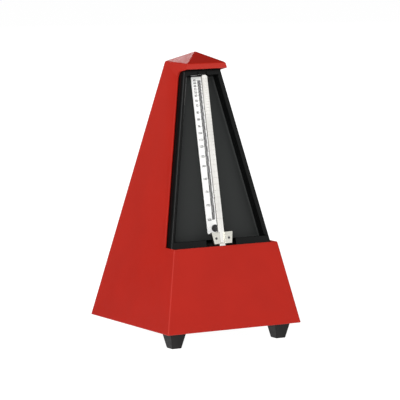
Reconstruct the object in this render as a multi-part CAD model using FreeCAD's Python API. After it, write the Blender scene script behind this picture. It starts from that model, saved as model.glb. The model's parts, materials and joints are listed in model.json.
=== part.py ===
"""Pyramid metronome with a wind-up movement: one STEP file per separate piece.

Units are millimetres.  +Z is up, the front with the pendulum faces -Y, and the winding key
stands out on +X.  The origin is on the table under the middle of the case.

The front leans back, so pieces that belong to it are drawn upright in a "face frame"
(X across, Y inwards from the front surface, Z up the slope) and then tilted into place.
Wheels turn about X: they are drawn flat in XY and then turned so that their Z runs along X.
"""
import FreeCAD, Part
import math
import os

Vector = FreeCAD.Vector

# ---- case ------------------------------------------------------------------------------
BASE_W = 119.0            # square footprint of the case
TOP_W = 34.0              # square at the eaves
FOOT_H = 12.3             # underside of the case above the table
EAVE_Z = 212.0
APEX_Z = 220.0
WALL = 1.5                # thickness square to the wall
PANEL_TOP_Z = 74.8        # upper edge of the closed lower front
FASCIA_Z = 207.7          # lower edge of the band under the roof
SIDE_SETBACK = 13.4       # side walls stop this far behind the front surface
NOTCH_R = 4.0             # round between a side wall's front edge and the fascia
FIT = 0.15                # gap between parts that drop into each other

# ---- floor and feet --------------------------------------------------------------------
FLOOR_T = 2.5
FLOOR_TOP = FOOT_H + FLOOR_T
BOSS_H = 3.4
FOOT_TOP_W = 13.7
FOOT_SOLE_W = 8.2
FOOT_XY = 46.6
FOOT_CHAMFER = 0.4
BASE_POST_XY = [(sx * 51.0, sy * 30.0) for sx in (-1, 1) for sy in (-1, 1)]
BASE_POST_R = 4.0
BASE_POST_TOP = 30.0

# ---- tray behind the pendulum ----------------------------------------------------------
TRAY_FRONT = 7.0          # depth of the tray's rim behind the front surface
TRAY_FLOOR = 15.9         # depth of the tray's flat back
TRAY_T = 1.5
TRAY_RIM = 2.4
TRAY_LIP = 1.2            # bevel on the inside of the rim
TRAY_EDGE_R = 1.6         # round on the outside of the rim
TRAY_ROUND = 1.8
TRAY_LOW = 62.4           # underside of the tray, up the slope
TRAY_POCKET_LOW = 69.6
TRAY_POCKET_TOP = 195.9
RIB_W = 9.0

# ---- tempo scale -----------------------------------------------------------------------
SCALE_W = 13.0
SCALE_LOW = 74.4
SCALE_TOP = 195.5
SCALE_DEPTH = 14.2
SCALE_T = 0.8
SCALE_SCREW_UP = 78.6

# ---- pendulum --------------------------------------------------------------------------
PIVOT_UP = 58.0           # swing axis, up the slope
ROD_DEPTH = 5.4           # front face of the rod
ROD_W = 5.0
ROD_T = 1.2
ROD_LOW = 11.0
ROD_TOP = 195.6
ROD_NOTCH = 0.3
HUB_W = 10.0
HUB_H = 8.0
HUB_T = 5.0
BOB_UP = 24.0
BOB_R = 16.5
BOB_T = 7.2
WEIGHT_LOW = 65.8
WEIGHT_H = 9.0
WEIGHT_TOP_W = 18.6
WEIGHT_LOW_W = 15.6
WEIGHT_DEPTH = 4.2
WEIGHT_SLOT_W = 4.0
WEIGHT_RIVET_X = 5.6
SLIDE_GAP = 0.15          # rod in its channel
TEMPI = ([*range(40, 60, 2)] + [*range(60, 72, 3)] + [*range(72, 120, 4)]
         + [*range(120, 144, 6)] + [*range(144, 209, 8)])

# ---- verge and its bearings ------------------------------------------------------------
VERGE_R = 1.25
VERGE_LOW_DEPTH = 8.0
VERGE_END_DEPTH = 48.3
RUNNING = 0.05            # radial play of a turning shaft
FRONT_BRIDGE_DEPTH = 15.5
REAR_COCK_DEPTH = 46.0
PALLET_R = 3.4
PALLET_W = 3.6
PALLET_ANGLE = 45.0

# ---- frame of the movement -------------------------------------------------------------
PLATE_T = 1.5
LEFT_X = -25.5            # inner face of the left plate
RIGHT_X = 24.5            # inner face of the right plate
PLATE_OUTLINE = [(-42.0, 18.2), (34.0, 18.2), (36.0, 42.0), (34.0, 68.0), (-2.0, 75.0),
                 (-22.0, 75.0), (-27.2, 68.8), (-31.5, 69.6)]
PLATE_FOOT_W = 10.0
PLATE_FOOT_L = 9.0
PLATE_FOOT_Y = (-31.0, 27.0)
PILLAR_YZ = [(-30.0, 25.0), (31.0, 27.0), (30.0, 62.0)]
PILLAR_R = 3.0

# ---- wheels: teeth, module -------------------------------------------------------------
PRESSURE = math.radians(25.0)
ADDENDUM = 0.75
DEDENDUM = 1.0
THINNING = 0.08
GREAT_TEETH, GREAT_MODULE = 60, 0.6
SECOND_TEETH, SECOND_MODULE = 60, 0.5
PINION_LEAVES = 10
ESCAPE_TEETH = 15
CROWN_R = 9.0
CROWN_RING = 1.3
CROWN_TIP_X = -3.8        # plane of the tooth tips, beside the verge
CROWN_BACK_X = -13.0
CROWN_TOOTH = 2.6
CROWN_DEPTH = 30.0        # where the verge crosses the crown wheel's centre
SECOND_BEARING = -60.0    # direction from the crown wheel to the second arbor, degrees
BARREL_BEARING = -20.0    # direction from the second arbor to the barrel

# ---- barrel, ratchet and key -----------------------------------------------------------
DRUM_R = 16.0
DRUM_WALL = 1.2
DRUM_X0 = 3.5
DRUM_X1 = 17.5
WEB_T = 2.0
COVER_T = 1.2
ARBOR_R = 2.0
ARBOR_CORE_R = 3.0
ARBOR_END_X = 57.0
SPRING_T = 0.35
SPRING_TURNS = 9
RATCHET_X = 27.2
RATCHET_T = 2.0
RATCHET_R = 8.0
RATCHET_ROOT = 6.5
RATCHET_TEETH = 12
KEY_X0 = 47.0
KEY_SHANK_R = 4.0
KEY_WING_X = 65.5
KEY_WING_R = 6.0
KEY_WING_REACH = 12.5
KEY_WING_T = 3.2
KEY_HOLE_R = 5.2

SLOPE = (BASE_W - TOP_W) / 2 / (EAVE_Z - FOOT_H)
TILT = math.atan(SLOPE)
SIN, COS = math.sin(TILT), math.cos(TILT)
FACE = FreeCAD.Placement(Vector(0, -BASE_W / 2, FOOT_H),
                         FreeCAD.Rotation(Vector(1, 0, 0), -math.degrees(TILT)))


# ---- helpers ---------------------------------------------------------------------------
def save(name, shape):
    """Write one piece under its own name."""
    shape.exportStep("parts/" + name + ".step")


def on_face(shape):
    """Tilt a piece drawn in the face frame into place."""
    placed = shape.copy()
    placed.Placement = FACE.multiply(placed.Placement)
    return placed


def along_x(shape, x, centre, turn=0.0):
    """Turn a piece drawn flat in XY so that its Z runs along X; turn is degrees from +Y."""
    spin = FreeCAD.Rotation(Vector(1, 1, 1), 120).multiply(FreeCAD.Rotation(Vector(0, 0, 1), turn))
    placed = shape.copy()
    placed.Placement = FreeCAD.Placement(Vector(x, *centre), spin).multiply(placed.Placement)
    return placed


def face_yz(up, depth):
    """World (y, z) of a point in the middle of the face frame."""
    return (-BASE_W / 2 + up * SIN + depth * COS, FOOT_H + up * COS - depth * SIN)


def face_depth(point):
    """Depth of a world point behind the front surface."""
    return (point.y + BASE_W / 2) * COS - (point.z - FOOT_H) * SIN


def box(x0, x1, y0, y1, z0, z1):
    return Part.makeBox(x1 - x0, y1 - y0, z1 - z0, Vector(x0, y0, z0))


def rod_x(x0, x1, radius, centre=(0.0, 0.0)):
    return Part.makeCylinder(radius, x1 - x0, Vector(x0, *centre), Vector(1, 0, 0))


def rod_y(y0, y1, radius, x=0.0, z=0.0):
    return Part.makeCylinder(radius, y1 - y0, Vector(x, y0, z), Vector(0, 1, 0))


def rod_z(z0, z1, radius, x=0.0, y=0.0):
    return Part.makeCylinder(radius, z1 - z0, Vector(x, y, z0), Vector(0, 0, 1))


def solid_from(faces):
    """Closed convex solid from lists of corner points, one list per flat face."""
    corners = [point for face in faces for point in face]
    middle = sum(corners, Vector()) * (1 / len(corners))
    sides = []
    for face in faces:
        normal = (face[1] - face[0]).cross(face[2] - face[0])
        ring = face if normal.dot(face[0] - middle) > 0 else face[::-1]
        sides.append(Part.Face(Part.makePolygon([*ring, ring[0]])))
    return Part.Solid(Part.makeShell(sides))


def square(half, z):
    return [Vector(sx * half, sy * half, z) for sx, sy in ((-1, -1), (1, -1), (1, 1), (-1, 1))]


def frustum(half_low, z_low, half_top, z_top):
    """Square frustum."""
    low, top = square(half_low, z_low), square(half_top, z_top)
    sides = [[low[i - 1], low[i], top[i], top[i - 1]] for i in range(4)]
    return solid_from([low, top, *sides])


def tower(inset, z_low, z_eave, z_apex):
    """Square tapering tower with a pyramid roof, set in by inset from the case's surface."""
    low = square(half_width(z_low) - inset, z_low)
    eave = square(half_width(z_eave) - inset, z_eave)
    apex = Vector(0, 0, z_apex)
    sides = [[low[i - 1], low[i], eave[i], eave[i - 1]] for i in range(4)]
    roof = [[eave[i - 1], eave[i], apex] for i in range(4)]
    return solid_from([low, *sides, *roof])


def half_width(z):
    """Half the case's outside width at a height."""
    return BASE_W / 2 - SLOPE * (z - FOOT_H)


def prism(points, direction):
    """Flat outline pushed along a direction."""
    return Part.Face(Part.makePolygon([*points, points[0]])).extrude(direction)


def yz_prism(points, x0, x1):
    return prism([Vector(x0, y, z) for y, z in points], Vector(x1 - x0, 0, 0))


def fuse_all(shapes):
    return shapes[0].multiFuse(shapes[1:]).removeSplitter()


def polar(radius, degrees):
    angle = math.radians(degrees)
    return (radius * math.cos(angle), radius * math.sin(angle))


def offset(centre, radius, degrees):
    dy, dz = polar(radius, degrees)
    return (centre[0] + dy, centre[1] + dz)


def screw(shank_r, length, head_r, head_h, slot=0.6):
    """Slotted cheese-head screw: the head sits on z = 0 and the shank points down."""
    head = rod_z(0, head_h, head_r)
    head = head.makeFillet(head_h * 0.35, [e for e in head.Edges if e.BoundBox.ZMin > head_h / 2
                                           and e.Closed])
    cut = box(-head_r - 1, head_r + 1, -slot / 2, slot / 2, head_h * 0.5, head_h + 1)
    return head.fuse(rod_z(-length, 0, shank_r)).removeSplitter().cut(cut)


def put(shape, position, axis):
    """Stand a piece drawn along +Z at a position, pointing along an axis."""
    placed = shape.copy()
    turn = FreeCAD.Rotation(Vector(0, 0, 1), Vector(*axis))
    placed.Placement = FreeCAD.Placement(Vector(*position), turn)
    return placed


# ---- places worked out from the sizes above --------------------------------------------
SECOND_ARBOR_R = 1.2
ESCAPE_ARBOR_R = 1.0
SECOND_WHEEL_X = LEFT_X + 3.3
ESCAPE = face_yz(PIVOT_UP, CROWN_DEPTH)
SECOND = offset(ESCAPE, SECOND_MODULE * (SECOND_TEETH + PINION_LEAVES) / 2, SECOND_BEARING)
BARREL = offset(SECOND, GREAT_MODULE * (GREAT_TEETH + PINION_LEAVES) / 2, BARREL_BEARING)
COCK_X = -17.5
COCK_SPAN = 11.0
COCK_BEARING = 35.0
COCK_YZ = [offset(ESCAPE, COCK_SPAN, COCK_BEARING + turn) for turn in (0, 180)]
FRONT_EAR = (57.9, 20.0)
REAR_EARS = [(56.0, 52.5), (61.0, 52.5)]
WEIGHT_MID = WEIGHT_LOW + WEIGHT_H * 0.47
WEIGHT_ZERO = PIVOT_UP + WEIGHT_H / 2
HUB_SCREW_UP = (PIVOT_UP - 2.6, PIVOT_UP + 2.6)
CLICK_PIVOT = offset(BARREL, 12.5, 100)
CLICK_NOSE = offset(BARREL, RATCHET_R + 0.4, 45)
CLICK_SPRING_PIN = offset(BARREL, 20.0, 62)
CLICK_SPRING_TIP = offset(BARREL, 10.45, 69)


# ---- case ------------------------------------------------------------------------------
def front_opening():
    """Everything in front of the side walls' edges, between the lower front and the fascia.

    Its lower edge is level and its upper edge is square to the front.
    """
    far = -BASE_W
    low_y = (SIDE_SETBACK + (PANEL_TOP_Z - FOOT_H) * SIN) / COS - BASE_W / 2
    fascia_up = (FASCIA_Z - FOOT_H) / COS
    corner_y, corner_z = face_yz(fascia_up, SIDE_SETBACK)
    outline = [(far, PANEL_TOP_Z), (low_y, PANEL_TOP_Z), (corner_y, corner_z),
               face_yz(fascia_up, 0), (far, FASCIA_Z)]
    cut = yz_prism(outline, -BASE_W, BASE_W)
    corner = [e for e in cut.Edges if all(abs(v.Y - corner_y) < 0.01 and abs(v.Z - corner_z) < 0.01
                                          for v in e.Vertexes)]
    return cut.makeFillet(NOTCH_R, corner)


def casing_shell():
    """Roof, fascia, side and back walls and lower front, one thin moulding open underneath."""
    inset = WALL / COS
    shell = tower(0, FOOT_H, EAVE_Z, APEX_Z)
    cavity = tower(inset, FOOT_H, EAVE_Z, APEX_Z - WALL)
    mouth = frustum(half_width(FOOT_H - 1) - inset, FOOT_H - 1, half_width(FOOT_H) - inset, FOOT_H)
    shell = shell.cut(fuse_all([cavity, mouth])).cut(front_opening())
    shell = shell.cut(rod_x(40, 70, KEY_HOLE_R, BARREL))
    post_tops = frustum(half_width(FLOOR_TOP) - 1, FLOOR_TOP,
                        half_width(BASE_POST_TOP) - 1, BASE_POST_TOP)
    for x, y in BASE_POST_XY:
        post = rod_z(FLOOR_TOP, BASE_POST_TOP, BASE_POST_R, x, y)
        rib = box(min(x, x * 1.1), max(x, x * 1.1), y - 1, y + 1, FLOOR_TOP, BASE_POST_TOP)
        shell = shell.fuse(fuse_all([post, rib]).common(post_tops))
        shell = shell.cut(rod_z(FLOOR_TOP - 1, FLOOR_TOP + 10, 1.25, x, y))
    return shell.removeSplitter()


def base_plate():
    """Floor of the case with bosses for the movement."""
    inset = WALL / COS + FIT
    plate = frustum(half_width(FOOT_H) - inset, FOOT_H, half_width(FLOOR_TOP) - inset, FLOOR_TOP)
    for x, y in BASE_POST_XY:
        plate = plate.cut(rod_z(FOOT_H, FLOOR_TOP, 1.5, x, y))
        plate = plate.cut(rod_z(FOOT_H, FOOT_H + 1.5, 3.2, x, y))
    for x, y in movement_foot_xy():
        plate = plate.fuse(rod_z(FLOOR_TOP, FLOOR_TOP + BOSS_H, 4.0, x, y))
        plate = plate.cut(rod_z(FOOT_H + 0.8, FLOOR_TOP + BOSS_H, 1.2, x, y))
    for x, y in foot_xy().values():
        plate = plate.cut(rod_z(FOOT_H, FLOOR_TOP, 1.5, x, y))
    return plate.removeSplitter()


def foot_xy():
    return {"foot_front_left": (-FOOT_XY, -FOOT_XY), "foot_front_right": (FOOT_XY, -FOOT_XY),
            "foot_rear": (0.0, FOOT_XY)}


def foot(x, y):
    """Square tapered foot, with a pilot hole for its screw."""
    block = frustum(FOOT_SOLE_W / 2, 0, FOOT_TOP_W / 2, FOOT_H)
    edges = [e for e in block.Edges if e.BoundBox.ZMax < 0.01]
    block = block.makeChamfer(FOOT_CHAMFER, edges)
    block.translate(Vector(x, y, 0))
    return block.cut(rod_z(FOOT_H - 8, FOOT_H, 1.2, x, y))


def make_case():
    save("casing_shell", casing_shell())
    save("base_plate", base_plate())
    for name, (x, y) in foot_xy().items():
        save(name, foot(x, y))
    foot_screw = screw(1.2, FLOOR_T + 7, 2.8, 1.5)
    save("foot_screws", Part.makeCompound(
        [put(foot_screw, (x, y, FLOOR_TOP), (0, 0, 1)) for x, y in foot_xy().values()]))
    base_screw = screw(1.25, FLOOR_T + 6, 2.8, 1.3)
    save("base_screws", Part.makeCompound(
        [put(base_screw, (x, y, FOOT_H + 1.5), (0, 0, -1)) for x, y in BASE_POST_XY]))


# ---- tray, scale and rod catch ---------------------------------------------------------
def tray_pocket(margin):
    """The tray's tapering hollow in the face frame, with rounded floor edges."""
    def half(up, depth):
        z = FOOT_H + up * COS - depth * SIN
        return half_width(z) - WALL / COS - FIT - margin

    def ring(depth):
        return [Vector(-half(TRAY_POCKET_LOW, depth), depth, TRAY_POCKET_LOW),
                Vector(half(TRAY_POCKET_LOW, depth), depth, TRAY_POCKET_LOW),
                Vector(half(TRAY_POCKET_TOP, depth), depth, TRAY_POCKET_TOP),
                Vector(-half(TRAY_POCKET_TOP, depth), depth, TRAY_POCKET_TOP)]

    near, far = ring(TRAY_FRONT - 1), ring(TRAY_FLOOR)
    sides = [[near[i - 1], near[i], far[i], far[i - 1]] for i in range(4)]
    return solid_from([near, far, *sides])


def face_plate():
    """Black tray: outer walls against the case, a rim in front, and a rib behind the scale."""
    body = frustum(half_width(FLOOR_TOP) - WALL / COS - FIT, FLOOR_TOP,
                   half_width(FASCIA_Z) - WALL / COS - FIT, FASCIA_Z - 2 * FIT)
    slab = on_face(box(-BASE_W, BASE_W, TRAY_FRONT, TRAY_FLOOR + TRAY_T, TRAY_LOW, 230))
    body = body.common(slab)
    rim_edges = [e for e in body.Edges if e.BoundBox.ZLength > 50
                 and all(abs(face_depth(v.Point) - TRAY_FRONT) < 0.01 for v in e.Vertexes)]
    body = body.makeFillet(TRAY_EDGE_R, rim_edges)
    pocket = tray_pocket(TRAY_RIM + TRAY_LIP)
    floor_edges = [e for e in pocket.Edges if e.BoundBox.YMin > TRAY_FLOOR - 0.01]
    pocket = pocket.makeFillet(TRAY_ROUND, floor_edges)
    body = body.cut(on_face(pocket))
    lip = tray_pocket(TRAY_RIM).common(box(-BASE_W, BASE_W, 0, TRAY_FRONT + TRAY_LIP, 0, 230))
    rib = box(-RIB_W / 2, RIB_W / 2, SCALE_DEPTH + SCALE_T, TRAY_FLOOR + TRAY_T / 2,
              SCALE_LOW + 3, TRAY_POCKET_TOP + 1)
    notch = box(-13.2, 13.2, TRAY_FRONT - 1, 13, TRAY_LOW - 1, TRAY_POCKET_LOW + 0.01)
    underside = box(-40, 40, TRAY_FRONT + TRAY_T, TRAY_FLOOR, TRAY_LOW - 1, TRAY_POCKET_LOW - TRAY_T)
    screw_hole = rod_y(SCALE_DEPTH, TRAY_FLOOR + TRAY_T - 0.3, 1.1, 0, SCALE_SCREW_UP)
    catch_slot = box(-4.5, 4.5, TRAY_FRONT - 1, 12, TRAY_POCKET_TOP - 1, TRAY_POCKET_TOP + 2.4)
    seat = box(-SCALE_W / 2 - FIT, SCALE_W / 2 + FIT, SCALE_DEPTH, SCALE_DEPTH + SCALE_T,
               SCALE_LOW, SCALE_TOP + FIT)
    body = body.fuse(on_face(rib))
    body = body.cut(on_face(bevelled(lip)))
    for tool in (notch, underside, screw_hole, catch_slot, seat):
        body = body.cut(on_face(tool))
    return body.removeSplitter()


def bevelled(lip):
    """The shallow pocket at the rim, drawn in to the deep one by a chamfer round its far end."""
    far = [e for e in lip.Edges if e.BoundBox.YMin > TRAY_FRONT + TRAY_LIP - 0.01]
    return lip.makeChamfer(TRAY_LIP * 0.98, far)


def scale_plate():
    """Metal tempo scale with a screw hole near its foot."""
    plate = box(-SCALE_W / 2, SCALE_W / 2, SCALE_DEPTH, SCALE_DEPTH + SCALE_T, SCALE_LOW, SCALE_TOP)
    corners = [e for e in plate.Edges if abs(e.Length - SCALE_T) < 0.01]
    plate = plate.makeFillet(0.8, corners)
    return on_face(plate.cut(rod_y(SCALE_DEPTH, SCALE_DEPTH + SCALE_T, 1.3, 0, SCALE_SCREW_UP)))


def rod_catch():
    """Rest under the fascia for the parked rod: a block with a shallow groove in its front."""
    low = TRAY_POCKET_TOP + 0.4
    front = ROD_DEPTH + ROD_T / 2
    groove_half = ROD_W / 2 + 0.4
    block = box(-4.4, 4.4, front, 11.8, low, low + 1.9)
    groove = box(-groove_half, groove_half, front - 1, ROD_DEPTH + ROD_T + 0.3, low - 1, low + 3)
    return on_face(block.cut(groove))


def make_front():
    save("face_plate", face_plate())
    save("scale_plate", scale_plate())
    scale_screw = screw(1.1, 2.8, 2.8, 1.1, 0.7)
    save("scale_screw", on_face(put(scale_screw, (0, SCALE_DEPTH, SCALE_SCREW_UP), (0, -1, 0))))
    save("rod_catch", rod_catch())


# ---- pendulum --------------------------------------------------------------------------
def tempo_reach(beats):
    """Distance from the pivot to the weight's upper edge that gives a tempo, in mm.

    A stiff pendulum with a fixed bob below and a small sliding weight above swings at rate w
    when r satisfies w^2 (A + r^2) = g (B - r); A and B gather the fixed masses.
    """
    gravity = 9810.0
    inertia, moment = 9350.0, 142.0
    w2 = (math.pi * beats / 60) ** 2
    return (math.sqrt(gravity ** 2 + 4 * w2 * (moment * gravity - inertia * w2)) - gravity) / (2 * w2)


def pendulum_rod():
    """Flat steel rod with a fine notch across its front for every tempo mark."""
    back = ROD_DEPTH + ROD_T
    half = ROD_W / 2
    outline = [(-half, ROD_LOW), (half, ROD_LOW), (half, ROD_TOP - 1.2), (half - 1.0, ROD_TOP),
               (1.0 - half, ROD_TOP), (-half, ROD_TOP - 1.2)]
    rod = prism([Vector(x, ROD_DEPTH, z) for x, z in outline], Vector(0, ROD_T, 0))
    for beats in TEMPI:
        up = WEIGHT_ZERO + tempo_reach(beats)
        notch = prism([Vector(-half, ROD_DEPTH, up - ROD_NOTCH / 2),
                       Vector(-half, ROD_DEPTH, up + ROD_NOTCH / 2),
                       Vector(-half, ROD_DEPTH + ROD_NOTCH / 2, up)], Vector(ROD_W, 0, 0))
        rod = rod.cut(notch)
    for up in HUB_SCREW_UP:
        rod = rod.cut(rod_y(ROD_DEPTH, back, 0.9, 0, up))
    return on_face(rod.cut(rod_y(ROD_DEPTH, back, 1.5, 0, BOB_UP)))


def rod_hub():
    """Block on the front of the verge that carries the rod."""
    front = ROD_DEPTH + ROD_T
    block = box(-HUB_W / 2, HUB_W / 2, front, front + HUB_T, PIVOT_UP - HUB_H / 2, PIVOT_UP + HUB_H / 2)
    block = block.makeFillet(2.0, [e for e in block.Edges if abs(e.Length - HUB_T) < 0.01
                                   and abs(e.BoundBox.YLength - HUB_T) < 0.01])
    block = block.cut(rod_y(VERGE_LOW_DEPTH, front + HUB_T, VERGE_R, 0, PIVOT_UP))
    for up in HUB_SCREW_UP:
        block = block.cut(rod_y(front, front + 3, 0.9, 0, up))
    return on_face(block)


def counterweight():
    """Heavy lens-shaped bob riveted to the lower end of the rod."""
    front = ROD_DEPTH + ROD_T
    disc = rod_y(front, front + BOB_T, BOB_R, 0, BOB_UP)
    disc = disc.makeChamfer(1.2, [e for e in disc.Edges if e.Closed])
    return on_face(disc.cut(rod_y(front, front + BOB_T, 1.5, 0, BOB_UP)))


def counterweight_rivet():
    front, back = ROD_DEPTH, ROD_DEPTH + ROD_T + BOB_T
    return on_face(fuse_all([rod_y(front - 1.0, front, 2.8, 0, BOB_UP),
                             rod_y(front, back, 1.5, 0, BOB_UP),
                             rod_y(back, back + 0.8, 2.8, 0, BOB_UP)]))


def weight_body():
    """Trapezoid block that hugs the rod: lips in front, channel open behind."""
    low, top = WEIGHT_LOW, WEIGHT_LOW + WEIGHT_H
    back = ROD_DEPTH + ROD_T + SLIDE_GAP
    outline = [(-WEIGHT_LOW_W / 2, low), (WEIGHT_LOW_W / 2, low),
               (WEIGHT_TOP_W / 2, top), (-WEIGHT_TOP_W / 2, top)]
    block = prism([Vector(x, WEIGHT_DEPTH, z) for x, z in outline], Vector(0, back - WEIGHT_DEPTH, 0))
    corners = [e for e in block.Edges if abs(e.BoundBox.YLength - (back - WEIGHT_DEPTH)) < 0.01]
    block = block.makeFillet(0.6, corners)
    slot = box(-WEIGHT_SLOT_W / 2, WEIGHT_SLOT_W / 2, 0, back + 1, low - 1, top + 1)
    channel_half = ROD_W / 2 + SLIDE_GAP
    channel = box(-channel_half, channel_half, ROD_DEPTH - SLIDE_GAP, back + 1, low - 1, top + 1)
    bridge = box(-channel_half - 1, channel_half + 1, WEIGHT_DEPTH + 0.45, ROD_DEPTH - SLIDE_GAP,
                 low, low + 1.0)
    block = block.cut(slot).cut(channel).fuse(bridge)
    for x in (-WEIGHT_RIVET_X, WEIGHT_RIVET_X):
        block = block.cut(rod_y(WEIGHT_DEPTH, back, 1.0, x, WEIGHT_MID))
    return on_face(block.removeSplitter())


def weight_spring():
    """Thin leaf across the back of the weight that presses on the rod."""
    front = ROD_DEPTH + ROD_T + SLIDE_GAP
    leaf = box(-7.0, 7.0, front, front + 0.4, WEIGHT_MID - 2.5, WEIGHT_MID + 2.5)
    leaf = leaf.makeFillet(1.5, [e for e in leaf.Edges if abs(e.Length - 0.4) < 0.01])
    for x in (-WEIGHT_RIVET_X, WEIGHT_RIVET_X):
        leaf = leaf.cut(rod_y(front, front + 0.4, 1.0, x, WEIGHT_MID))
    return on_face(leaf)


def weight_rivet(x):
    """Rivet just below the weight's front, headed behind the leaf."""
    back = ROD_DEPTH + ROD_T + SLIDE_GAP + 0.4
    return on_face(fuse_all([rod_y(WEIGHT_DEPTH + 0.15, back, 1.0, x, WEIGHT_MID),
                             rod_y(back, back + 0.5, 1.4, x, WEIGHT_MID)]))


def verge_arbor():
    """Swinging shaft, square to the front of the case."""
    return on_face(rod_y(VERGE_LOW_DEPTH, VERGE_END_DEPTH, VERGE_R, 0, PIVOT_UP))


def pallet(depth, angle):
    """Collar on the verge with a flat blade towards the crown wheel."""
    collar = rod_y(depth - PALLET_W / 2, depth + PALLET_W / 2, VERGE_R + 0.9, 0, PIVOT_UP)
    blade = box(-PALLET_R, 0, depth - PALLET_W / 2, depth + PALLET_W / 2, -0.4, 0.4)
    blade.rotate(Vector(0, 0, 0), Vector(0, 1, 0), angle)
    blade.translate(Vector(0, 0, PIVOT_UP))
    bore = rod_y(depth - PALLET_W, depth + PALLET_W, VERGE_R, 0, PIVOT_UP)
    return on_face(fuse_all([collar, blade]).cut(bore))


def make_pendulum():
    save("pendulum_rod", pendulum_rod())
    save("rod_hub", rod_hub())
    hub_screw = screw(0.9, ROD_T + 2.6, 1.7, 0.9, 0.4)
    save("hub_screws", Part.makeCompound(
        [on_face(put(hub_screw, (0, ROD_DEPTH, up), (0, -1, 0))) for up in HUB_SCREW_UP]))
    save("counterweight", counterweight())
    save("counterweight_rivet", counterweight_rivet())
    save("weight_body", weight_body())
    save("weight_spring", weight_spring())
    save("weight_rivets", Part.makeCompound(
        [weight_rivet(x) for x in (-WEIGHT_RIVET_X, WEIGHT_RIVET_X)]))
    save("verge_arbor", verge_arbor())
    save("pallet_front", pallet(CROWN_DEPTH - CROWN_R + CROWN_RING / 2, PALLET_ANGLE))
    save("pallet_rear", pallet(CROWN_DEPTH + CROWN_R - CROWN_RING / 2, -PALLET_ANGLE))


# ---- frame of the movement -------------------------------------------------------------
def movement_foot_xy():
    left = LEFT_X - PLATE_T - PLATE_FOOT_L / 2
    right = RIGHT_X + PLATE_T + PLATE_FOOT_L / 2
    return [(x, y) for x in (left, right) for y in PLATE_FOOT_Y]


def movement_plate(side):
    """Side plate of the movement with two feet bent outwards; side is -1 left, +1 right."""
    inner = LEFT_X if side < 0 else RIGHT_X
    outer = inner + side * PLATE_T
    plate = yz_prism(PLATE_OUTLINE, inner, outer)
    z0 = PLATE_OUTLINE[0][1]
    for y in PLATE_FOOT_Y:
        x0, x1 = sorted((inner, outer + side * PLATE_FOOT_L))
        foot_tab = box(x0, x1, y - PLATE_FOOT_W / 2, y + PLATE_FOOT_W / 2, z0, z0 + PLATE_T)
        plate = plate.fuse(foot_tab)
        plate = plate.cut(rod_z(z0, z0 + PLATE_T, 1.5, outer + side * PLATE_FOOT_L / 2, y))
    holes = [(BARREL, ARBOR_R + RUNNING), (SECOND, SECOND_ARBOR_R + RUNNING)]
    holes += [(p, 1.4) for p in PILLAR_YZ]
    if side < 0:
        holes += [(ESCAPE, ESCAPE_ARBOR_R + RUNNING)] + [(p, 1.1) for p in COCK_YZ]
        holes.append((face_yz(*FRONT_EAR), 1.1))
    else:
        holes += [(face_yz(*FRONT_EAR), 1.1)] + [(face_yz(*ear), 1.1) for ear in REAR_EARS]
        holes += [(CLICK_PIVOT, 1.1), (CLICK_SPRING_PIN, 0.9)]
    for centre, radius in holes:
        plate = plate.cut(rod_x(min(inner, outer) - 1, max(inner, outer) + 1, radius, centre))
    return plate.removeSplitter()


def pillar(centre):
    """Pillar between the side plates, drilled at both ends for its screws."""
    shape = rod_x(LEFT_X, RIGHT_X, PILLAR_R, centre)
    shape = shape.cut(rod_x(LEFT_X, LEFT_X + 7, 1.4, centre))
    return shape.cut(rod_x(RIGHT_X - 7, RIGHT_X, 1.4, centre))


def verge_front_bridge():
    """Bridge across the front of the plates, with the verge's front bearing."""
    d0 = FRONT_BRIDGE_DEPTH
    bridge = box(LEFT_X, RIGHT_X, d0, d0 + PLATE_T, 53.5, 61.5)
    for x0 in (LEFT_X, RIGHT_X - PLATE_T):
        bridge = bridge.fuse(box(x0, x0 + PLATE_T, d0, d0 + 7.5, 54.2, 61.5))
    bridge = bridge.cut(rod_y(d0 - 1, d0 + 3, VERGE_R + RUNNING, 0, PIVOT_UP))
    bridge = on_face(bridge)
    hole = rod_x(LEFT_X, RIGHT_X, 1.1, face_yz(*FRONT_EAR))
    return bridge.cut(hole).removeSplitter()


def verge_rear_cock():
    """Bracket on the right plate with the verge's rear bearing."""
    d0 = REAR_COCK_DEPTH
    plate = box(-4, RIGHT_X, d0, d0 + PLATE_T, 54, 63)
    ear = box(RIGHT_X - PLATE_T, RIGHT_X, d0, d0 + 10, 54, 63)
    cock = plate.fuse(ear).cut(rod_y(d0 - 1, d0 + 3, VERGE_R + RUNNING, 0, PIVOT_UP))
    cock = on_face(cock)
    for ear_point in REAR_EARS:
        cock = cock.cut(rod_x(RIGHT_X - PLATE_T, RIGHT_X, 1.1, face_yz(*ear_point)))
    return cock.removeSplitter()


def escape_cock():
    """Small plate that holds the inner end of the escape arbor, beside the crown wheel."""
    half_span = COCK_SPAN
    strap = box(-half_span, half_span, -3.6, 3.6, 0, PLATE_T)
    strap = fuse_all([strap, *[Part.makeCylinder(3.6, PLATE_T, Vector(x, 0, 0))
                               for x in (-half_span, half_span)],
                      Part.makeCylinder(5.0, PLATE_T)])
    strap = strap.cut(Part.makeCylinder(ESCAPE_ARBOR_R + RUNNING, PLATE_T))
    for x in (-half_span, half_span):
        strap = strap.cut(Part.makeCylinder(1.1, PLATE_T, Vector(x, 0, 0)))
    return along_x(strap, COCK_X, ESCAPE, COCK_BEARING)


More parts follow.
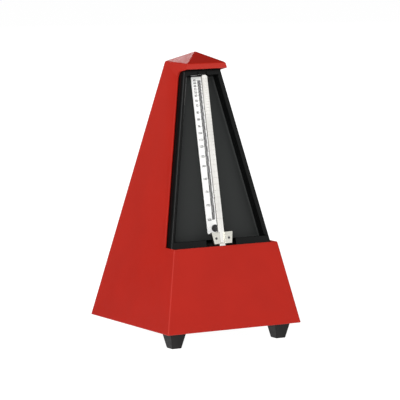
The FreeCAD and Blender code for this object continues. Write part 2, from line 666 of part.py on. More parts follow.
def make_frame():
    save("movement_plate_left", movement_plate(-1))
    save("movement_plate_right", movement_plate(1))
    save("frame_pillars", Part.makeCompound([pillar(p) for p in PILLAR_YZ]))
    pillar_screw = screw(1.4, PLATE_T + 5.5, 2.6, 1.5)
    left, right = LEFT_X - PLATE_T, RIGHT_X + PLATE_T
    save("pillar_screws", Part.makeCompound(
        [put(pillar_screw, (x, *p), (side, 0, 0))
         for x, side in ((left, -1), (right, 1)) for p in PILLAR_YZ]))
    foot_screw = screw(1.2, PLATE_T + 4.2, 2.6, 1.5)
    save("movement_screws", Part.makeCompound(
        [put(foot_screw, (x, y, PLATE_OUTLINE[0][1] + PLATE_T), (0, 0, 1))
         for x, y in movement_foot_xy()]))
    save("verge_front_bridge", verge_front_bridge())
    save("verge_rear_cock", verge_rear_cock())
    ear_screw = screw(1.1, 2 * PLATE_T + 0.8, 2.0, 1.2)
    seats = [(left, -1, FRONT_EAR), (right, 1, FRONT_EAR), *[(right, 1, ear) for ear in REAR_EARS]]
    save("bridge_screws", Part.makeCompound(
        [put(ear_screw, (x, *face_yz(*ear)), (side, 0, 0)) for x, side, ear in seats]))
    save("escape_cock", escape_cock())
    save("cock_spacers", Part.makeCompound(
        [rod_x(LEFT_X, COCK_X, 2.2, p).cut(rod_x(LEFT_X, COCK_X, 1.1, p)) for p in COCK_YZ]))
    cock_screw = screw(1.1, COCK_X + PLATE_T - LEFT_X + PLATE_T, 2.0, 1.1)
    save("cock_screws", Part.makeCompound(
        [put(cock_screw, (COCK_X + PLATE_T, *p), (1, 0, 0)) for p in COCK_YZ]))


# ---- wheels ----------------------------------------------------------------------------
def gear(teeth, module, width, bore_r):
    """Spur wheel with involute flanks, one tooth centred on +X, drawn flat in XY."""
    pitch_r = module * teeth / 2
    base_r = pitch_r * math.cos(PRESSURE)
    tip_r = pitch_r + ADDENDUM * module
    root_r = pitch_r - DEDENDUM * module
    half_tooth = math.pi / (2 * teeth) - THINNING / (2 * pitch_r)

    def involute(radius):
        angle = math.acos(min(1.0, base_r / radius))
        return math.tan(angle) - angle

    def flank(radius):
        return half_tooth + involute(pitch_r) - involute(radius)

    low_r = max(base_r, root_r)
    profile = [(root_r, flank(low_r)), (low_r, flank(low_r)), (pitch_r, flank(pitch_r)),
               (tip_r, flank(tip_r))]
    if low_r == root_r:
        profile = profile[1:]
    points = []
    for i in range(teeth):
        middle = 2 * math.pi * i / teeth
        for radius, half in profile:
            points.append(Vector(radius * math.cos(middle - half), radius * math.sin(middle - half)))
        for radius, half in reversed(profile):
            points.append(Vector(radius * math.cos(middle + half), radius * math.sin(middle + half)))
    return prism(points, Vector(0, 0, width)).cut(Part.makeCylinder(bore_r, width))


def crown_wheel():
    """Cup-shaped escape wheel: saw teeth stand on its rim, parallel to its axis."""
    depth = CROWN_TIP_X - CROWN_BACK_X
    cup = Part.makeCylinder(CROWN_R, depth)
    cup = cup.cut(Part.makeCylinder(CROWN_R - CROWN_RING, depth, Vector(0, 0, PLATE_T)))
    boss = Part.makeCylinder(2.4, 1.2, Vector(0, 0, -1.2))
    cup = cup.fuse(boss)
    pitch = 2 * math.pi * CROWN_R / ESCAPE_TEETH
    gap = prism([Vector(0, -pitch * 0.46, depth + 0.5), Vector(0, -pitch * 0.40, depth - CROWN_TOOTH),
                 Vector(0, -pitch * 0.10, depth - CROWN_TOOTH), Vector(0, pitch * 0.42, depth + 0.5)],
                Vector(CROWN_R + 2, 0, 0))
    for i in range(ESCAPE_TEETH):
        tool = gap.copy()
        tool.rotate(Vector(0, 0, 0), Vector(0, 0, 1), 360.0 * i / ESCAPE_TEETH)
        cup = cup.cut(tool)
    return cup.cut(Part.makeCylinder(ESCAPE_ARBOR_R, 4, Vector(0, 0, -2))).removeSplitter()


def wheel_with_arms(blank, hub_r, rim_r, arms, width):
    """Cut windows between the spokes of a wheel drawn flat in XY."""
    ring = Part.makeCylinder(rim_r, width).cut(Part.makeCylinder(hub_r, width))
    spokes = [box(0, rim_r + 1, -1.2, 1.2, 0, width) for _ in range(arms)]
    for i, spoke in enumerate(spokes):
        spoke.rotate(Vector(0, 0, 0), Vector(0, 0, 1), 360.0 * i / arms + 180.0 / arms)
        ring = ring.cut(spoke)
    return blank.cut(ring)


def make_train():
    toward_barrel = BARREL_BEARING
    toward_escape = SECOND_BEARING + 180
    half_leaf = 180.0 / PINION_LEAVES
    pinion = gear(PINION_LEAVES, GREAT_MODULE, 6.0, SECOND_ARBOR_R)
    save("second_pinion", along_x(pinion, DRUM_X0 - 2.0, SECOND, toward_barrel + half_leaf))
    wheel = gear(SECOND_TEETH, SECOND_MODULE, PLATE_T, SECOND_ARBOR_R)
    wheel = wheel_with_arms(wheel, 4.0, 12.4, 4, PLATE_T)
    save("second_wheel", along_x(wheel, SECOND_WHEEL_X, SECOND, toward_escape))
    save("second_arbor", rod_x(LEFT_X - PLATE_T, RIGHT_X + PLATE_T, SECOND_ARBOR_R, SECOND))
    leaf_wheel = gear(PINION_LEAVES, SECOND_MODULE, 5.6, ESCAPE_ARBOR_R)
    save("escape_pinion", along_x(leaf_wheel, LEFT_X + 1.2, ESCAPE, toward_escape + 180 + half_leaf))
    save("escape_arbor", rod_x(LEFT_X - PLATE_T, CROWN_BACK_X + PLATE_T, ESCAPE_ARBOR_R, ESCAPE))
    save("crown_wheel", along_x(crown_wheel(), CROWN_BACK_X, ESCAPE))


# ---- barrel, ratchet and key -----------------------------------------------------------
def barrel_drum():
    """Open drum with the great wheel's teeth round its floor."""
    drum = gear(GREAT_TEETH, GREAT_MODULE, WEB_T, ARBOR_R + RUNNING)
    length = DRUM_X1 - DRUM_X0
    wall = Part.makeCylinder(DRUM_R, length).cut(Part.makeCylinder(DRUM_R - DRUM_WALL, length))
    return along_x(drum.fuse(wall).removeSplitter(), DRUM_X0, BARREL, BARREL_BEARING + 180)


def barrel_cover():
    cover = rod_x(DRUM_X1 - COVER_T, DRUM_X1, DRUM_R - DRUM_WALL, BARREL)
    return cover.cut(rod_x(DRUM_X1 - 2, DRUM_X1 + 1, ARBOR_R + RUNNING, BARREL))


def mainspring():
    """Flat spring coiled inside the drum: an even spiral of thin strip."""
    inner, outer = ARBOR_CORE_R + 0.7, DRUM_R - DRUM_WALL - 0.3
    steps = SPRING_TURNS * 12

    def edge(shift):
        points = []
        for i in range(steps + 1):
            radius = inner + (outer - inner - SPRING_T) * i / steps + shift
            points.append(Vector(*polar(radius, 30.0 * i), 0))
        curve = Part.BSplineCurve()
        curve.interpolate(points)
        return curve.toShape(), points

    inside, inside_points = edge(0.0)
    outside, outside_points = edge(SPRING_T)
    ends = [Part.makeLine(inside_points[k], outside_points[k]) for k in (0, -1)]
    strip = Part.Face(Part.Wire([inside, ends[1], outside, ends[0]]))
    return along_x(strip.extrude(Vector(0, 0, 9.0)), DRUM_X0 + WEB_T + 0.6, BARREL)


def barrel_arbor():
    """Winding shaft: thick core inside the drum, and a long end for the key."""
    core = rod_x(DRUM_X0 + WEB_T + 0.3, DRUM_X1 - COVER_T - 0.3, ARBOR_CORE_R, BARREL)
    return fuse_all([rod_x(LEFT_X - PLATE_T, ARBOR_END_X, ARBOR_R, BARREL), core])


def ratchet_wheel():
    """Saw-toothed wheel fixed on the winding shaft outside the right plate."""
    points = []
    for i in range(RATCHET_TEETH):
        angle = 360.0 * i / RATCHET_TEETH
        points.append(Vector(*polar(RATCHET_R, angle), 0))
        points.append(Vector(*polar(RATCHET_ROOT, angle + 4), 0))
    wheel = prism(points, Vector(0, 0, RATCHET_T))
    return along_x(wheel.cut(Part.makeCylinder(ARBOR_R, RATCHET_T)), RATCHET_X, BARREL)


def click():
    """Pawl that rides on the ratchet's teeth."""
    py, pz = CLICK_PIVOT
    ny, nz = CLICK_NOSE
    length = math.hypot(ny - py, nz - pz)
    along = ((ny - py) / length, (nz - pz) / length)
    away = (-along[1], along[0]) if along[0] > 0 else (along[1], -along[0])

    def point(run, rise):
        return (py + along[0] * run + away[0] * rise, pz + along[1] * run + away[1] * rise)

    arm = yz_prism([point(0, 0), point(length, 0), point(length, 0.8), point(0, 2.4)],
                   RATCHET_X, RATCHET_X + RATCHET_T)
    boss = rod_x(RATCHET_X - 1.2, RATCHET_X + RATCHET_T, 2.4, CLICK_PIVOT)
    bore = rod_x(RATCHET_X - 2, RATCHET_X + 4, 1.1 + RUNNING, CLICK_PIVOT)
    return fuse_all([arm, boss]).cut(bore)


def click_spring():
    """Leaf from its own screw to the back of the click."""
    y0, z0 = CLICK_SPRING_PIN
    y1, z1 = CLICK_SPRING_TIP
    length = math.hypot(y1 - y0, z1 - z0)
    angle = math.degrees(math.atan2(z1 - z0, y1 - y0))
    leaf = box(0, length, -0.25, 0.25, 0, RATCHET_T)
    eye = Part.makeCylinder(1.8, RATCHET_T)
    shape = fuse_all([leaf, eye]).cut(Part.makeCylinder(0.9, RATCHET_T))
    return along_x(shape, RATCHET_X - 1.2, CLICK_SPRING_PIN, angle)


def winding_key():
    """Two-winged key on the end of the winding shaft."""
    shank = rod_x(KEY_X0, KEY_WING_X, KEY_SHANK_R, BARREL)
    collar = rod_x(KEY_X0 + 11.0, KEY_X0 + 13.0, KEY_SHANK_R + 1.5, BARREL)
    lobes = [Part.makeCylinder(KEY_WING_R, KEY_WING_T,
                               Vector(KEY_WING_X, BARREL[0] - KEY_WING_T / 2,
                                      BARREL[1] + side * (KEY_WING_REACH - KEY_WING_R)),
                               Vector(0, 1, 0)) for side in (-1, 1)]
    web = box(KEY_WING_X - KEY_WING_R, KEY_WING_X + KEY_WING_R * 0.8,
              BARREL[0] - KEY_WING_T / 2, BARREL[0] + KEY_WING_T / 2,
              BARREL[1] - KEY_WING_REACH + KEY_WING_R, BARREL[1] + KEY_WING_REACH - KEY_WING_R)
    key = fuse_all([shank, collar, web, *lobes])
    return key.cut(rod_x(KEY_X0 - 1, ARBOR_END_X, ARBOR_R, BARREL)).removeSplitter()


def make_barrel():
    save("barrel_drum", barrel_drum())
    save("barrel_cover", barrel_cover())
    save("mainspring", mainspring())
    save("barrel_arbor", barrel_arbor())
    save("ratchet_wheel", ratchet_wheel())
    save("click", click())
    right = RIGHT_X + PLATE_T
    click_screw = screw(1.1, RATCHET_X + RATCHET_T + 0.2 - RIGHT_X, 2.2, 1.0, 0.5)
    save("click_screw", put(click_screw, (RATCHET_X + RATCHET_T + 0.2, *CLICK_PIVOT), (1, 0, 0)))
    save("click_spring", click_spring())
    pin = screw(0.9, RATCHET_T + PLATE_T, 1.8, 0.9, 0.4)
    save("click_spring_screw", put(pin, (right + RATCHET_T, *CLICK_SPRING_PIN), (1, 0, 0)))
    save("winding_key", winding_key())


# ---- everything -------------------------------------------------------------------------
def main():
    os.makedirs("parts", exist_ok=True)
    make_case()
    make_front()
    make_pendulum()
    make_frame()
    make_train()
    make_barrel()


main()
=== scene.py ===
"""Looks of the pyramid metronome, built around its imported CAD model.

Everything is in metres, in the CAD frame: +Z up, the front with the pendulum towards -Y, the
winding key on +X, and the origin on the table under the middle of the case.
"""
import bmesh
import bpy
import json
import math
from mathutils import Matrix, Vector


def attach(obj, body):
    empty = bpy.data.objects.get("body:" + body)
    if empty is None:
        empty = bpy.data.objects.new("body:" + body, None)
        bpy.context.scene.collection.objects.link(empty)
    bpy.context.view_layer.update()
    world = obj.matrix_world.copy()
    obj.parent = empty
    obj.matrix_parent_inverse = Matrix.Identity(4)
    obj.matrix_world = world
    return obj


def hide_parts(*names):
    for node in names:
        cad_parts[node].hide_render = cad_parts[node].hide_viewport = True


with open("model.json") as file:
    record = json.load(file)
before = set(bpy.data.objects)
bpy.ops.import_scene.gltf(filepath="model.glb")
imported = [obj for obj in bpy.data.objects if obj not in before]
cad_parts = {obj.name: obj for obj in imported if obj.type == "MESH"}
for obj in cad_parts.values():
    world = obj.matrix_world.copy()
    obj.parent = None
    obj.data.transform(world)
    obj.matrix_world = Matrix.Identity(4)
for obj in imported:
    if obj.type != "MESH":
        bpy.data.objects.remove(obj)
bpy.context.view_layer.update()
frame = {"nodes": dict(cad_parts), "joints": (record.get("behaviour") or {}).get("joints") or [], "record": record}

MM = 0.001
ACROSS = Vector((1, 0, 0))

# ---- camera and light ------------------------------------------------------------------
CAMERA_AZIMUTH = -31.21      # degrees from the front, positive towards the key's side
CAMERA_ELEVATION = 6.94
CAMERA_DISTANCE = 2.1785
CAMERA_AIM = Vector((0.00448, 0, 0.10457))
CAMERA_LENS = 253.55
CAMERA_SENSOR = 36.0
FAR_CLIP = 50.0
FLOOR_SIZE = 14.0
FLOOR_GLOW = 0.97
SKY_STRENGTH = 0.05
LIGHT_AIM = Vector((0, 0, 0.10))
# Each softbox: azimuth and elevation in degrees, distance, width and height, and brightness.
SOFTBOXES = {
    "key_panel": (-45, 24, 2.2, 1.5, 1.5, 6.4),
    "front_panel": (31, 22, 2.3, 2.4, 1.8, 1.3),
    "left_panel": (-100, 30, 2.2, 1.8, 1.8, 1.4),
    "back_panel": (164, 27, 3.5, 1.7, 1.7, 4.3),
}

# ---- the printed tempo scale -----------------------------------------------------------
TEMPI = ([*range(40, 60, 2)] + [*range(60, 72, 3)] + [*range(72, 120, 4)]
         + [*range(120, 144, 6)] + [*range(144, 209, 8)])
PRINT_T = 0.02 * MM
NUMERAL_SIZE = 2.5 * MM
NUMERAL_WIDTH = 0.92         # narrowing of the figures
NUMERAL_SWELL = 0.05 * MM    # extra thickness of their strokes on each side
NUMERAL_CURVE_STEPS = 3
NUMERAL_X = 3.95 * MM
BAND_HALF = 1.35 * MM
TICK_END = 2.1 * MM
TICK_T = 0.25 * MM
GRAVITY = 9.81
FIXED_INERTIA = 9350e-6      # inertia (m2) and pull (m) of the pendulum's fixed masses,
FIXED_PULL = 142e-3          # both divided by the mass of the sliding weight

# ---- edges and surfaces ----------------------------------------------------------------
# Pieces with their edges rounded over: the radius and the shortest edge that takes it, in mm.
ROUNDED = {
    "casing_shell": (0.80, 12.0),
    "face_plate": (0.30, 20.0),
    "foot_front_left": (0.45, 4.0),
    "foot_front_right": (0.45, 4.0),
    "foot_rear": (0.45, 4.0),
    "scale_plate": (0.12, 5.0),
    "weight_body": (0.18, 3.0),
    "winding_key": (0.25, 3.0),
}
ROUNDING_STEPS = 3
WELD_GAP = 1e-6
FLAT_TURN = math.radians(0.6)
EDGE_TURN = math.radians(20)
SMOOTH_TURN = math.radians(32)
TRAY_BACK_T = 2.0 * MM       # the tray's flat back, and a little of the walls on it
TRAY_FADE = 0.3 * MM

# Printing inks: colour, roughness and unevenness.
INKS = {
    "scale_ink": ((0.035, 0.035, 0.038), 0.55, 0.25),
    "scale_band_ink": ((0.10, 0.10, 0.10), 0.5, 0.2),
    "scale_grey_ink": ((0.24, 0.24, 0.24), 0.5, 0.18),
}
# Brushed metals: colour, roughness, and how far the grain is squeezed along X, Y and Z.
BRUSHED = {
    "rod_steel": ((0.68, 0.67, 0.64), 0.30, (1, 0.1, 0.1)),
    "nickel": ((0.54, 0.53, 0.48), 0.28, (1, 8, 8)),
    "steel": ((0.56, 0.56, 0.57), 0.30, (1, 6, 6)),
    "spring_steel": ((0.20, 0.23, 0.31), 0.28, (1, 6, 6)),
    "brass": ((0.74, 0.53, 0.22), 0.32, (6, 1, 1)),
}


# ---- the frame's own directions and sizes ----------------------------------------------
def joint(name):
    return next(j for j in frame["joints"] if j["name"] == name)


UP = Vector(joint("weight_slide")["axis"]).normalized()
INWARD = Vector(joint("pendulum_swing")["axis"]).normalized()
PIVOT = Vector(joint("pendulum_swing")["pos_m"])


def span(node, direction):
    """Lowest and highest reach of a CAD node along a direction."""
    reach = [v.co.dot(direction) for v in frame["nodes"][node].data.vertices]
    return min(reach), max(reach)


def body_of(node):
    bodies = frame["record"]["behaviour"]["bodies"]
    return next(body for body, nodes in bodies.items() if node in nodes)


def slot_of(node):
    return next(s["material_slot"] for s in frame["record"]["subparts"] if s["node"] == node)


def on_front(x, up, depth):
    """World point from its projections across, up the sloping front and inwards."""
    return ACROSS * x + UP * up + INWARD * depth


def seen_from(azimuth, elevation):
    """Direction from the metronome to a viewer, from its angles in degrees."""
    turn, lift = math.radians(azimuth), math.radians(elevation)
    return Vector((math.sin(turn) * math.cos(lift), -math.cos(turn) * math.cos(lift),
                   math.sin(lift)))


def stand_off(obj, aim, azimuth, elevation, distance):
    """Put a camera or a light at a distance from a point, turned to face it."""
    back = seen_from(azimuth, elevation)
    obj.location = aim + back * distance
    obj.rotation_euler = (-back).to_track_quat("-Z", "Y").to_euler()


# ---- materials -------------------------------------------------------------------------
class Surface:
    """A node-based material on a Principled shader, built up one layer at a time."""

    def __init__(self, name, color, roughness, metallic=0.0, **sockets):
        self.name = name
        self.material = bpy.data.materials.new(name)
        self.material.use_nodes = True
        self.nodes = self.material.node_tree.nodes
        self.links = self.material.node_tree.links
        self.shader = self.nodes["Principled BSDF"]
        self.base = (*color, 1.0)
        self.roughness = roughness
        self.shader.inputs["Base Color"].default_value = self.base
        self.shader.inputs["Roughness"].default_value = roughness
        self.shader.inputs["Metallic"].default_value = metallic
        for socket, value in sockets.items():
            self.shader.inputs[socket.replace("_", " ")].default_value = value
        self.place = self.nodes.new("ShaderNodeTexCoord").outputs["Object"]

    def noise(self, scale, detail, stretch):
        """Noise in the model's own space, squeezed along its axes."""
        mapping = self.nodes.new("ShaderNodeMapping")
        mapping.inputs["Scale"].default_value = stretch
        self.links.new(self.place, mapping.inputs["Vector"])
        noise = self.nodes.new("ShaderNodeTexNoise")
        noise.inputs["Scale"].default_value = scale
        noise.inputs["Detail"].default_value = detail
        self.links.new(mapping.outputs["Vector"], noise.inputs["Vector"])
        return noise.outputs["Fac"]

    def ramp(self, value, low, high, low_color, high_color):
        """Turn a value into a colour, steady below low and above high."""
        node = self.nodes.new("ShaderNodeValToRGB")
        first, last = node.color_ramp.elements
        first.position = low
        last.position = high
        first.color = low_color
        last.color = high_color
        self.links.new(value, node.inputs["Fac"])
        return node.outputs["Color"]

    def spread(self, value, from_low, from_high, to_low, to_high):
        """Stretch one range of values over another, and hold them inside it."""
        node = self.nodes.new("ShaderNodeMapRange")
        node.inputs["From Min"].default_value = from_low
        node.inputs["From Max"].default_value = from_high
        node.inputs["To Min"].default_value = to_low
        node.inputs["To Max"].default_value = to_high
        self.links.new(value, node.inputs["Value"])
        return node.outputs["Result"]

    def blend(self, kind, mask, second, socket):
        """Mix what the shader's socket has now with a second value, by a mask."""
        goal = self.shader.inputs[socket]
        mix = self.nodes.new("ShaderNodeMix")
        mix.data_type = kind
        self.links.new(mask, mix.inputs["Factor"])
        if goal.is_linked:
            self.links.new(goal.links[0].from_socket, mix.inputs["A"])
        else:
            mix.inputs["A"].default_value = goal.default_value
        mix.inputs["B"].default_value = second
        self.links.new(mix.outputs["Result"], goal)

    def mottle(self, scale, amount, stretch=(1, 1, 1)):
        """Slightly darker and lighter patches of the base colour."""
        dark = (*[c * (1 - amount) for c in self.base[:3]], 1.0)
        light = (*[min(1.0, c * (1 + amount)) for c in self.base[:3]], 1.0)
        patches = self.noise(scale, detail=4.0, stretch=stretch)
        color = self.ramp(patches, 0.35, 0.65, dark, light)
        self.links.new(color, self.shader.inputs["Base Color"])

    def rub(self, scale, amount, stretch=(1, 1, 1)):
        """Roughness that wanders either side of its middle value."""
        low = max(0.02, self.roughness - amount)
        high = min(1.0, self.roughness + amount)
        patches = self.noise(scale, detail=5.0, stretch=stretch)
        roughness = self.spread(patches, 0.3, 0.7, low, high)
        self.links.new(roughness, self.shader.inputs["Roughness"])

    def grain(self, scale, height_mm, stretch=(1, 1, 1), detail=2.0):
        """Fine relief of the given height."""
        bump = self.nodes.new("ShaderNodeBump")
        bump.inputs["Distance"].default_value = height_mm * MM
        bump.inputs["Strength"].default_value = 1.0
        self.links.new(self.noise(scale, detail, stretch), bump.inputs["Height"])
        self.links.new(bump.outputs["Normal"], self.shader.inputs["Normal"])

    def deeper(self, depth, fade, color, roughness):
        """Another colour and roughness on everything deeper than a depth behind the front."""
        reach = self.nodes.new("ShaderNodeVectorMath")
        reach.operation = "DOT_PRODUCT"
        reach.inputs[1].default_value = INWARD
        self.links.new(self.place, reach.inputs[0])
        mask = self.spread(reach.outputs["Value"], depth - fade, depth, 0.0, 1.0)
        self.blend("RGBA", mask, (*color, 1.0), "Base Color")
        self.blend("FLOAT", mask, roughness, "Roughness")

    def edge_wear(self, color, amount):
        """Paler colour on convex outside edges, for handling wear and, on the red case, a painted highlight along
        its rounded edges.
        """
        pointed = self.nodes.new("ShaderNodeNewGeometry").outputs["Pointiness"]
        mask = self.ramp(pointed, 0.52, 0.62, (0, 0, 0, 1), (amount, amount, amount, 1))
        self.blend("RGBA", mask, (*color, 1.0), "Base Color")


def case_red():
    """Moulded red plastic with a faint orange peel."""
    surface = Surface("case_red", (0.350, 0.0105, 0.0045), 0.40, Specular_IOR_Level=0.08)
    surface.mottle(scale=38, amount=0.035)
    surface.rub(scale=160, amount=0.05)
    surface.grain(scale=420, height_mm=0.006)
    # Paler edges: a painted highlight along the case's rounded edges, with a little handling wear.
    surface.edge_wear(color=(0.42, 0.04, 0.03), amount=0.5)
    return surface


def tray_plastic():
    """Black plastic, polished on the rim and matt and paler on the tray's flat back."""
    surface = Surface("tray_plastic", (0.0030, 0.0033, 0.0032), 0.22, Specular_IOR_Level=0.11)
    surface.mottle(scale=60, amount=0.10)
    surface.grain(scale=2200, height_mm=0.001)
    back = span("face_plate", INWARD)[1] - TRAY_BACK_T
    surface.deeper(back, TRAY_FADE, color=(0.0235, 0.0250, 0.0245), roughness=0.5)
    return surface


def black_plastic():
    """Grained black moulding, greyer where it is handled."""
    surface = Surface("black_plastic", (0.018, 0.018, 0.019), 0.38)
    surface.mottle(scale=80, amount=0.12)
    surface.rub(scale=240, amount=0.08)
    surface.grain(scale=1500, height_mm=0.012)
    surface.edge_wear(color=(0.07, 0.07, 0.07), amount=0.5)
    return surface


def foot_plastic():
    """Dull black plastic of the feet."""
    surface = Surface("foot_plastic", (0.0075, 0.0070, 0.0070), 0.45, Specular_IOR_Level=0.15)
    surface.mottle(scale=120, amount=0.15)
    surface.rub(scale=300, amount=0.08)
    surface.grain(scale=1300, height_mm=0.010)
    surface.edge_wear(color=(0.02, 0.02, 0.02), amount=0.4)
    return surface


def scale_metal():
    """Bright lacquered sheet, brushed along the scale's width."""
    surface = Surface("scale_metal", (0.95, 0.95, 0.935), 0.40)
    surface.mottle(scale=300, amount=0.02, stretch=(1, 14, 14))
    surface.rub(scale=500, amount=0.05, stretch=(1, 20, 20))
    surface.grain(scale=1500, height_mm=0.001)
    return surface


def printing_ink(name, color, roughness, unevenness):
    """Screen-printed ink with a little unevenness in its cover."""
    surface = Surface(name, color, roughness)
    surface.mottle(scale=900, amount=unevenness)
    surface.rub(scale=900, amount=0.1)
    surface.grain(scale=3000, height_mm=0.002)
    return surface


def iron():
    """Dark cast iron with uneven sheen."""
    surface = Surface("iron", (0.055, 0.055, 0.058), 0.42, metallic=0.7)
    surface.mottle(scale=220, amount=0.25)
    surface.rub(scale=320, amount=0.12)
    surface.grain(scale=700, height_mm=0.01)
    return surface


def brushed(name, color, roughness, stretch):
    """Bright metal with the fine lines of brushing."""
    surface = Surface(name, color, roughness, metallic=1.0)
    surface.mottle(scale=260, amount=0.10, stretch=stretch)
    surface.rub(scale=420, amount=0.10, stretch=stretch)
    surface.grain(scale=900, height_mm=0.004, stretch=stretch, detail=3.0)
    return surface


def make_materials():
    """Every material by name: the record's material slots and the printing inks."""
    plain = [make() for make in (case_red, tray_plastic, black_plastic, foot_plastic, scale_metal)]
    inks = [printing_ink(name, *look) for name, look in INKS.items()]
    metals = [iron()] + [brushed(name, *look) for name, look in BRUSHED.items()]
    return {surface.name: surface.material for surface in plain + inks + metals}


# ---- meshes ----------------------------------------------------------------------------
def new_object(name, mesh):
    obj = bpy.data.objects.new(name, mesh)
    bpy.context.scene.collection.objects.link(obj)
    return obj


def shade(bm):
    """Smooth faces, with edges left sharp where the surface turns more than a little."""
    for face in bm.faces:
        face.smooth = True
    for edge in bm.edges:
        edge.smooth = edge.is_manifold and edge.calc_face_angle(0.0) < SMOOTH_TURN


def mesh_from(bm, name):
    mesh = bpy.data.meshes.new(name)
    bm.to_mesh(mesh)
    bm.free()
    return mesh


def rounded(node, round_mm, shortest_mm):
    """A cleaned copy of a CAD node with its long sharp edges rounded over, standing for it."""
    bm = bmesh.new()
    bm.from_mesh(frame["nodes"][node].data)
    bmesh.ops.remove_doubles(bm, verts=bm.verts, dist=WELD_GAP)
    bmesh.ops.dissolve_limit(bm, angle_limit=FLAT_TURN, verts=bm.verts, edges=bm.edges)
    sharp = [e for e in bm.edges if e.is_manifold and e.calc_length() > shortest_mm * MM
             and e.calc_face_angle(0.0) > EDGE_TURN]
    bmesh.ops.bevel(bm, geom=sharp, offset=round_mm * MM, offset_type="OFFSET",
                    segments=ROUNDING_STEPS, profile=0.5, affect="EDGES", clamp_overlap=False)
    bmesh.ops.triangulate(bm, faces=[f for f in bm.faces if len(f.verts) > 4])
    shade(bm)
    piece = new_object(node + "_finish", mesh_from(bm, node + "_finish"))
    weighted = piece.modifiers.new("weighted_normals", "WEIGHTED_NORMAL")
    weighted.keep_sharp = True
    finish_piece(piece, body_of(node), slot_of(node))
    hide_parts(node)


def finish_piece(piece, body, slot, material=None):
    """Give a piece its body, its slot, and the slot's own material unless another is named."""
    piece.data.materials.clear()
    piece.data.materials.append(MATERIALS[material or slot])
    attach(piece, body)


# ---- tempo scale -----------------------------------------------------------------------
def tempo_reach(beats):
    """Distance from the swing axis up to the weight's middle that gives a tempo.

    The pendulum swings at rate w when the distance r satisfies w^2 (A + r^2) = g (B - r), where
    A and B are the inertia and the pull of its fixed masses.
    """
    w2 = (math.pi * beats / 60) ** 2
    root = math.sqrt(GRAVITY ** 2 + 4 * w2 * (FIXED_PULL * GRAVITY - FIXED_INERTIA * w2))
    return (root - GRAVITY) / (2 * w2)


def tempo_up(beats):
    """Place up the slope of a tempo's mark, which the weight's upper edge points at."""
    low, high = span("weight_body", UP)
    return PIVOT.dot(UP) + (high - low) / 2 + tempo_reach(beats)


def scale_matrix(x, up, lift):
    """Place a flat drawing, in its own X and Y, at a height above the front of the scale."""
    front = span("scale_plate", INWARD)[0]
    place = Matrix((ACROSS, UP, -INWARD)).transposed().to_4x4()
    place.translation = on_front(x, up, front - lift)
    return place


def printed(name, drawing, material):
    """Turn a bmesh drawn on the scale into a piece."""
    shade(drawing)
    piece = new_object(name, mesh_from(drawing, name))
    finish_piece(piece, "case", "scale_metal", material)


def add_patch(drawing, x0, x1, up0, up1):
    """A thin printed rectangle."""
    middle = scale_matrix((x0 + x1) / 2, (up0 + up1) / 2, PRINT_T / 2)
    size = Matrix.Diagonal((x1 - x0, up1 - up0, PRINT_T, 1))
    bmesh.ops.create_cube(drawing, size=1.0, matrix=middle @ size)


def add_number(drawing, text, x, up):
    """A number centred on a point, as thin solid figures."""
    curve = bpy.data.curves.new("number", "FONT")
    curve.body = text
    curve.size = NUMERAL_SIZE
    curve.align_x = "CENTER"
    curve.align_y = "CENTER"
    curve.extrude = PRINT_T / 2
    curve.offset = NUMERAL_SWELL
    curve.resolution_u = NUMERAL_CURVE_STEPS
    holder = new_object("number", curve)
    mesh = bpy.data.meshes.new_from_object(holder)
    narrow = Matrix.Diagonal((NUMERAL_WIDTH, 1, 1, 1))
    mesh.transform(scale_matrix(x, up, PRINT_T / 2) @ narrow)
    drawing.from_mesh(mesh)
    bpy.data.objects.remove(holder)
    bpy.data.curves.remove(curve)
    bpy.data.meshes.remove(mesh)


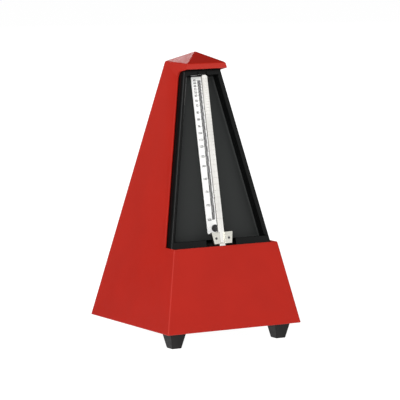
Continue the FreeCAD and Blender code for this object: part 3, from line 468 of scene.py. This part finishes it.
def make_scale_print():
    """Numbers and ticks on alternate sides of a band of blocks that alternate light and dark."""
    numbers, dark, grey = bmesh.new(), bmesh.new(), bmesh.new()
    for index, beats in enumerate(TEMPI):
        side = -1 if index % 2 == 0 else 1
        up = tempo_up(beats)
        add_number(numbers, str(beats), side * NUMERAL_X, up)
        inner, outer = sorted((side * BAND_HALF, side * TICK_END))
        add_patch(dark, inner, outer, up - TICK_T / 2, up + TICK_T / 2)
    for index, (slower, faster) in enumerate(zip(TEMPI, TEMPI[1:])):
        left, right = (dark, grey) if index % 2 else (grey, dark)
        add_patch(left, -BAND_HALF, 0, tempo_up(faster), tempo_up(slower))
        add_patch(right, 0, BAND_HALF, tempo_up(faster), tempo_up(slower))
    printed("scale_numbers", numbers, "scale_ink")
    printed("scale_ticks", dark, "scale_band_ink")
    printed("scale_bands", grey, "scale_grey_ink")


# ---- setting ---------------------------------------------------------------------------
def make_camera():
    data = bpy.data.cameras.new("camera")
    data.lens = CAMERA_LENS
    data.sensor_width = CAMERA_SENSOR
    data.clip_end = FAR_CLIP
    camera = new_object("camera", data)
    stand_off(camera, CAMERA_AIM, CAMERA_AZIMUTH, CAMERA_ELEVATION, CAMERA_DISTANCE)
    bpy.context.scene.camera = camera


def make_softbox(name, azimuth, elevation, distance, width, height, radiance):
    """A flat softbox facing the metronome, with a given brightness of its surface."""
    data = bpy.data.lights.new(name, "AREA")
    data.shape = "RECTANGLE"
    data.size = width
    data.size_y = height
    data.energy = math.pi * width * height * radiance
    stand_off(new_object(name, data), LIGHT_AIM, azimuth, elevation, distance)


def make_floor():
    """A pale light table."""
    bm = bmesh.new()
    bmesh.ops.create_grid(bm, x_segments=4, y_segments=4, size=FLOOR_SIZE / 2)
    floor = new_object("floor", mesh_from(bm, "floor"))
    table = Surface("light_table", (0.30, 0.30, 0.30), 0.9, Emission_Color=(1, 1, 1, 1),
                    Emission_Strength=FLOOR_GLOW, Specular_IOR_Level=0.0)
    table.mottle(scale=3.0, amount=0.01)
    floor.data.materials.append(table.material)


def make_sky():
    """A faint even light from all around."""
    world = bpy.data.worlds.new("studio")
    world.use_nodes = True
    world.node_tree.nodes["Background"].inputs["Color"].default_value = (1, 1, 1, 1)
    world.node_tree.nodes["Background"].inputs["Strength"].default_value = SKY_STRENGTH
    bpy.context.scene.world = world


# ---- build -----------------------------------------------------------------------------
MATERIALS = make_materials()
for node, cad_object in frame["nodes"].items():
    cad_object.data.materials.clear()
    cad_object.data.materials.append(MATERIALS[slot_of(node)])

make_camera()
make_floor()
make_sky()
for name, softbox in SOFTBOXES.items():
    make_softbox(name, *softbox)
bpy.context.scene.view_settings.view_transform = "Standard"

for node, (round_mm, shortest_mm) in ROUNDED.items():
    rounded(node, round_mm, shortest_mm)
make_scale_print()
